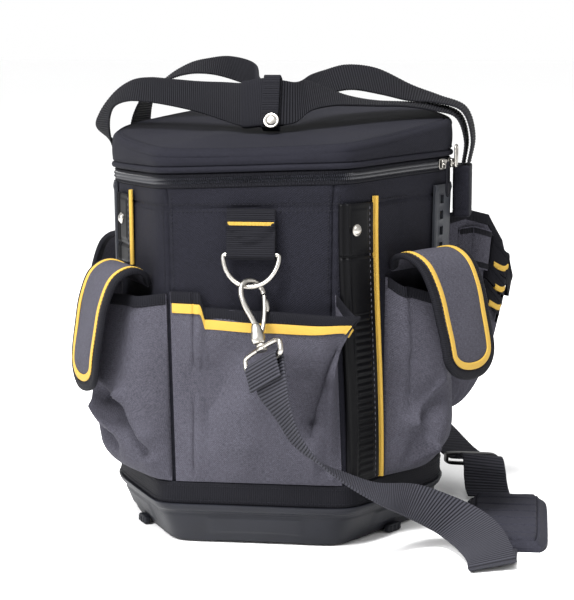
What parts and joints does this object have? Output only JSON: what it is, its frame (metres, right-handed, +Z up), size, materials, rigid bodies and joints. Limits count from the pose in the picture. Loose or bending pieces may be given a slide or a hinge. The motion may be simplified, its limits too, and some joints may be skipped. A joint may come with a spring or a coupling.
{
  "type": "tool bag",
  "caption": "Six-sided soft tool bag in a moulded tray, with a zipped lid, flap pockets, webbing handles, front ring and snap hook, and a shoulder strap with a pad lying beside it.",
  "frame": {"origin": "middle of the tray's flat underside, on the floor", "axes": "+Z up, the front with the ring and hook faces -Y, +X to the right as seen from the front"},
  "size_m": [0.4143, 0.4069, 0.3869],
  "materials": {
    "black_cloth": "woven",
    "grey_cloth": "woven",
    "yellow_trim": "ribbed",
    "black_webbing": "ribbed webbing",
    "tray_plastic": "matte moulded",
    "grey_plastic": "satin moulded",
    "nickel": "satin nickel"
  },
  "bodies": {
    "bag": {"base_tray": "tray_plastic", "foot_1": "tray_plastic", "foot_2": "tray_plastic", "foot_3": "tray_plastic", "foot_4": "tray_plastic", "body_shell": "black_cloth", "bottom_band": "black_webbing", "zip_band": "black_cloth", "lid": "black_cloth", "zip_slider_1": "nickel", "zip_slider_2": "nickel", "zip_pull_1": "black_webbing", "zip_pull_2": "nickel", "corner_strip_front": "tray_plastic", "corner_strip_left": "tray_plastic", "corner_strip_rear": "tray_plastic", "strip_rivet_front": "nickel", "strip_rivet_left": "nickel", "strip_rivet_rear": "nickel", "piping_front": "yellow_trim", "piping_left": "yellow_trim", "piping_rear": "yellow_trim", "side_plate_right": "grey_plastic", "side_plate_left": "grey_plastic", "front_pocket": "grey_cloth", "pocket_right": "grey_cloth", "pocket_left": "grey_cloth", "pocket_rear_left": "grey_cloth", "rear_pocket": "grey_cloth", "tool_pocket": "grey_cloth", "tool_slot_1": "grey_cloth", "tool_slot_2": "black_webbing", "tool_slot_3": "black_webbing", "tool_slot_4": "black_webbing", "flap_right": "grey_cloth", "flap_left": "grey_cloth", "flap_rear_left": "grey_cloth", "ring_tab_front": "black_webbing", "ring_front": "nickel", "ring_tab_rear": "black_webbing", "ring_rear": "nickel", "hook_front": "nickel", "swivel_eye_front": "nickel", "hook_rear": "nickel", "strap_front": "black_webbing", "strap_rear": "black_webbing", "shoulder_pad": "black_cloth", "strap_adjuster": "tray_plastic", "handle_near": "black_webbing", "handle_far": "black_webbing", "handle_wrap": "black_webbing", "handle_snap": "nickel", "handle_sleeve_right": "black_cloth", "handle_sleeve_left": "black_cloth"},
    "gate": {"gate_front": "nickel"}
  },
  "joints": [
    {"name": "gate_hinge", "type": "hinge", "parent": "bag", "child": "gate", "pos_m": [0.0113, -0.16703, 0.17818], "axis": [0.6254, -0.6287, 0.4621], "range_deg": [0, 22], "stiffness_Nm_per_rad": 0.05, "springref_deg": -11.46}
  ]
}
